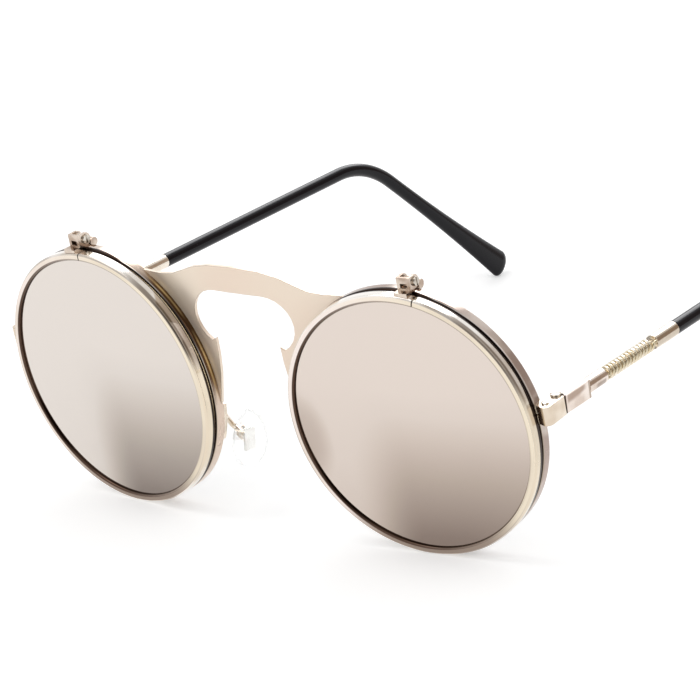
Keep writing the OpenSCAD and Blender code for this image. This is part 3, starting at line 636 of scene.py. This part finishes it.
def block_finish(name, side):
    """The block's plating, with painted patches of reflection, a painted soft brown reflection on
    the upper part of its outer face, painted dark lines at its end and at the hinge, and a
    painted shadow under the neck."""
    finish, sockets, place = new_material(f"block_gold_{name}", Metallic=1.0)
    out, run, height = measured(place, temple_frame(side))
    clouds = place.noise(190.0)
    colour = clouds.step(0.35, 0.68).mix(tone(240, 229, 220), tone(216, 199, 186))
    drift = (place.noise(260.0, 1.0) - 0.5) * 1.2
    # A painted soft brown reflection on the upper part of the outer face
    outer_face = out.step(1.0, 1.3)
    upper = (height + drift - run * 0.1).step(-0.5, 0.3) * (1 - height.step(1.3, 1.5))
    upper = upper * outer_face * run.step(0.5, 1.2) * (1 - run.step(5.6, 7.2))
    colour = (upper * 0.85).mix(colour, tone(166, 142, 126))
    # A painted dark line across the outer face at the block's end
    end_line = run.step(7.3, 7.5) * (1 - run.step(7.9, 8.1)) * outer_face
    colour = (end_line * 0.7).mix(colour, tone(150, 128, 108))
    # A painted shadow on the lower side of the neck
    neck = run.step(9.5, 10.5) * (1 - run.step(12.6, 13.2)) * out.step(0.2, 0.8)
    neck = neck * (1 - height.step(-0.2, 0.3)) * height.step(-1.3, -0.6)
    colour = (neck * 0.7).mix(colour, tone(140, 120, 106))
    # Painted shade in the hinge gap
    hinge = (1 - run.step(butt_gap + 0.24, butt_gap + 0.34)) * out.step(0.4, 0.9)
    put(sockets["Base Color"], hinge.mix(colour, tone(70, 52, 42)))
    put(sockets["Roughness"], 0.12 + clouds * 0.06 + place.noise(700.0, 3.0) * 0.04)
    return finish


for name, side in SIDES.items():
    seat(eased_copy(f"temple_block_{name}", block_edge), f"temple_block_{name}_eased", AS_IS,
         [block_finish(name, side)], f"temple_{name}", f"temple_block_{name}")


def banded(name, side, pale, deep, band):
    """Round plated stock with a band of warm shade along its outer side, as the room gives it."""
    finish, sockets, place = new_material(name, Metallic=1.0)
    out, run, height = measured(place, temple_frame(side))
    clouds = place.noise(400.0)
    facing = (out * 0.97 + height * 0.24).step(0.75, 1.25)
    put(sockets["Base Color"],
        (facing * 0.8).mix(clouds.step(0.35, 0.68).mix(pale, deep), band))
    put(sockets["Roughness"], 0.14 + clouds * 0.06)
    return finish


def coil_line():
    """The wound wire: a straight end, a tight bend, the turns, and the same again reversed.
    Each point is its turn round the temple, its place along it and its shift sideways."""
    lead = math.atan(coil_pitch / (math.tau * coil_r))
    slope = math.pi / 2 - lead
    hook = wire_d + hook_r * math.sin(slope)
    first = coil_start + hook
    last = first + coil_pitch * coil_turns + hook
    end = math.tau * coil_turns
    turns = [slope * i / hook_steps for i in range(hook_steps)]
    bend = [(wire_d + hook_r * math.sin(turn), hook_r * (math.cos(slope) - math.cos(turn)))
            for turn in turns]
    line = [(0, coil_start, bend[0][1])]
    line += [(0, coil_start + along, shift) for along, shift in bend]
    line += [(math.tau * i / turn_steps, first + coil_pitch * i / turn_steps, 0)
             for i in range(coil_turns * turn_steps + 1)]
    line += [(end, last - along, -shift) for along, shift in reversed(bend)]
    line += [(end, last, -bend[0][1])]
    return [(coil_r * math.cos(turn) - shift * math.sin(turn), along,
             coil_r * math.sin(turn) + shift * math.cos(turn)) for turn, along, shift in line]


def wound_wire():
    """The grip: a round wire along the coil's line, closed at both ends."""
    path = bpy.data.curves.new("wire", "CURVE")
    path.dimensions = "3D"
    path.bevel_depth = wire_d / 2
    path.bevel_resolution = wire_sides // 4 - 1
    path.use_fill_caps = True
    points = coil_line()
    spline = path.splines.new("POLY")
    spline.points.add(len(points) - 1)
    for spot, point in zip(spline.points, points):
        spot.co = (*point, 1)
    coil = bpy.data.objects.new("wire", path)
    bpy.context.scene.collection.objects.link(coil)
    bpy.ops.object.select_all(action="DESELECT")
    coil.select_set(True)
    bpy.context.view_layer.objects.active = coil
    bpy.ops.object.convert(target="MESH")
    bpy.ops.object.mode_set(mode="EDIT")
    bpy.ops.mesh.select_all(action="SELECT")
    bpy.ops.mesh.remove_doubles(threshold=weld / 10)
    return bpy.context.active_object


core_gold = plated("core_gold", tone(250, 242, 226), tone(238, 226, 204), 0.3, 400.0)
for name, side in SIDES.items():
    coil_gold = banded(f"coil_gold_{name}", side, tone(248, 241, 228), tone(232, 218, 190),
                       tone(196, 182, 150))
    collar_gold = banded(f"collar_gold_{name}", side, tone(246, 238, 226),
                         tone(236, 224, 208), tone(196, 182, 164))
    seat(wound_wire(), f"temple_coil_{name}_wire", temple_frame(side), [coil_gold],
         f"temple_{name}", f"temple_coil_{name}", smooth=60)
    seat(eased_copy(f"temple_collar_{name}", collar_edge), f"temple_collar_{name}_eased",
         AS_IS, [collar_gold], f"temple_{name}", f"temple_collar_{name}")
    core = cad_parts[f"temple_core_{name}"].data
    core.materials.clear()
    core.materials.append(core_gold)

# Sleeves
# Semi-gloss black plastic: a round tube over the core wire, bent down behind the ear and
# flattened into a rounded end. It is drawn from the tip back towards the coil.
shaft_l = 100.0
tip_l = 49.0
tip_roll = math.radians(10.0)
bend_angle = math.radians(46.5)
bend_r = 20.0
bend_len = bend_r * math.tan(bend_angle / 2)
bend_steps = 28
bend_lead = 1.0
sleeve_start = 37.2554
sleeve_r = 1.35
sleeve_sides = 40
paddle_w = 5.9
paddle_t = 2.5
paddle_end = tip_l - 0.8
blunt = 1.7
corner_r = 1.9
first_turn = 5
end_rings = 10
flare_rings = 20
mouth_ease = 0.15
bore_r = 0.6
bore_depth = 1.0


def tip_frame(side):
    """The frame of a temple's tip: Y along it from the corner of the bend."""
    return (temple_frame(side) @ Matrix.Rotation(tip_roll, 4, "Y")
            @ Matrix.Translation((0, shaft_l, 0)) @ Matrix.Rotation(-bend_angle, 4, "X"))


def paddle_rings():
    """The tip's rings, from the blunt end to the round tube: place, half width, half depth."""
    for i in range(end_rings):
        turn = math.radians(first_turn + (90 - first_turn) * i / (end_rings - 1))
        yield (paddle_end - blunt * (1 - math.cos(turn)),
               paddle_w / 2 - corner_r * (1 - math.sin(turn)),
               paddle_t / 2 * math.sqrt(math.sin(turn)))
    flare_end = paddle_end - blunt
    for i in range(1, flare_rings + 1):
        share = i / flare_rings
        spread = (1 - share) ** 2
        yield (flare_end + (bend_len + bend_lead - flare_end) * share,
               sleeve_r + (paddle_w / 2 - sleeve_r) * spread,
               sleeve_r + (paddle_t / 2 - sleeve_r) * spread)


def sleeve():
    """A sleeve, extruded in the tip's frame from its blunt end, spun round the bend and run on
    to its mouth, where the wire goes in."""
    bpy.ops.object.select_all(action="DESELECT")
    bpy.ops.mesh.primitive_circle_add(vertices=sleeve_sides, radius=1, fill_type="NGON",
                                      rotation=(math.pi / 2, 0, 0))
    bpy.ops.object.transform_apply(location=False, rotation=True, scale=False)
    bpy.ops.object.mode_set(mode="EDIT")
    bpy.ops.mesh.select_all(action="SELECT")
    (y, wide, thick), *rings = paddle_rings()
    bpy.ops.transform.resize(value=(thick, 1, wide), center_override=(0, 0, 0))
    bpy.ops.transform.translate(value=(0, y, 0))
    for next_y, next_wide, next_thick in rings:
        bpy.ops.mesh.extrude_region_move(
            TRANSFORM_OT_translate={"value": (0, next_y - y, 0)})
        bpy.ops.transform.resize(value=(next_thick / thick, 1, next_wide / wide),
                                 center_override=(0, next_y, 0))
        y, wide, thick = next_y, next_wide, next_thick
    bpy.ops.mesh.extrude_region_move(TRANSFORM_OT_translate={"value": (0, -bend_lead, 0)})
    bpy.ops.mesh.spin(steps=bend_steps, angle=-bend_angle, center=(0, bend_len, -bend_r),
                      axis=(1, 0, 0))
    ahead = Vector((0, -math.cos(bend_angle), -math.sin(bend_angle)))
    middle = (Matrix.Translation((0, bend_len, -bend_r))
              @ Matrix.Rotation(bend_angle, 4, "X") @ Vector((0, 0, bend_r)))
    run = shaft_l - bend_len - sleeve_start
    size = sleeve_r
    for length, next_size in ((run - mouth_ease, sleeve_r), (mouth_ease, sleeve_r - mouth_ease),
                              (0.0, bore_r), (-bore_depth, bore_r)):
        bpy.ops.mesh.extrude_region_move(TRANSFORM_OT_translate={"value": ahead * length})
        middle = middle + ahead * length
        bpy.ops.transform.resize(value=(next_size / size,) * 3, center_override=middle)
        size = next_size
    return bpy.context.active_object


black_plastic, sockets, place = new_material("sleeve_black", IOR=1.31)
put(sockets["Base Color"], place.noise(120.0).mix(tone(10, 9, 14), tone(20, 18, 24)))
put(sockets["Roughness"], 0.13 + place.noise(400.0, 3.0) * 0.08)
for name, side in SIDES.items():
    seat(sleeve(), f"temple_sleeve_{name}_tube", tip_frame(side), [black_plastic],
         f"temple_{name}", f"temple_sleeve_{name}")
